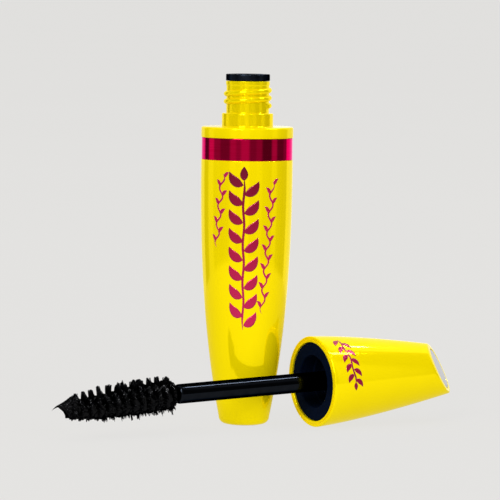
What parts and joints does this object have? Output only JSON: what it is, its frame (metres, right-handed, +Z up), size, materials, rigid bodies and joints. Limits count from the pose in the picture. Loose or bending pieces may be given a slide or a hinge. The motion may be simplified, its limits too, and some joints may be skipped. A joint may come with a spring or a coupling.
{
  "type": "mascara tube",
  "caption": "Open mascara tube: tapered yellow bottle with a threaded neck and metallic band, and a slant-ended cap lying beside it with its wand and twisted-wire brush.",
  "frame": {"origin": "middle of the bottle's base, on the surface it stands on", "axes": "+Z up along the bottle's axis; the cap and wand lie on the -Y side, with the brush towards -X and the cap's slanted end towards +X"},
  "size_m": [0.0886, 0.0589, 0.0811],
  "materials": {
    "yellow_plastic": "high-gloss injection-moulded yellow",
    "raspberry_metal": "bright anodised raspberry",
    "label_paper": "plain matt sticker",
    "wiper_rubber": "satin black soft plastic",
    "wet_formula": "wet black paste",
    "silver_plate": "satin silver",
    "inner_cap_plastic": "satin black",
    "seal_foam": "soft black",
    "stem_plastic": "gloss black",
    "brush_steel": "bright twisted wire, coated in paste",
    "bristle_nylon": "black bristles, coated in paste"
  },
  "bodies": {
    "bottle": {"body_shell": "yellow_plastic", "base_label": "label_paper", "shoulder_band": "raspberry_metal", "inner_bottle": "yellow_plastic", "wiper": "wiper_rubber", "mascara_formula": "wet_formula"},
    "seal": {"seal_ring": "seal_foam"},
    "wand": {"cap_shell": "yellow_plastic", "cap_end_plate": "silver_plate", "inner_cap": "inner_cap_plastic", "wand_stem": "stem_plastic", "brush_wire": "brush_steel", "bristle_row_01": "bristle_nylon", "bristle_row_02": "bristle_nylon", "bristle_row_03": "bristle_nylon", "bristle_row_04": "bristle_nylon", "bristle_row_05": "bristle_nylon", "bristle_row_06": "bristle_nylon", "bristle_row_07": "bristle_nylon", "bristle_row_08": "bristle_nylon", "bristle_row_09": "bristle_nylon", "bristle_row_10": "bristle_nylon", "bristle_row_11": "bristle_nylon", "bristle_row_12": "bristle_nylon"}
  },
  "joints": [
    {"name": "wand_draw", "type": "slide", "parent": "bottle", "child": "seal", "axis": [0.8618, 0.5056, 0.0393], "range_m": [0, 0.077]},
    {"name": "cap_turn", "type": "hinge", "parent": "seal", "child": "wand", "pos_m": [0.0156, -0.00495, 0.01049], "axis": [0.8618, 0.5056, 0.0393], "range_deg": [0, 720]}
  ]
}
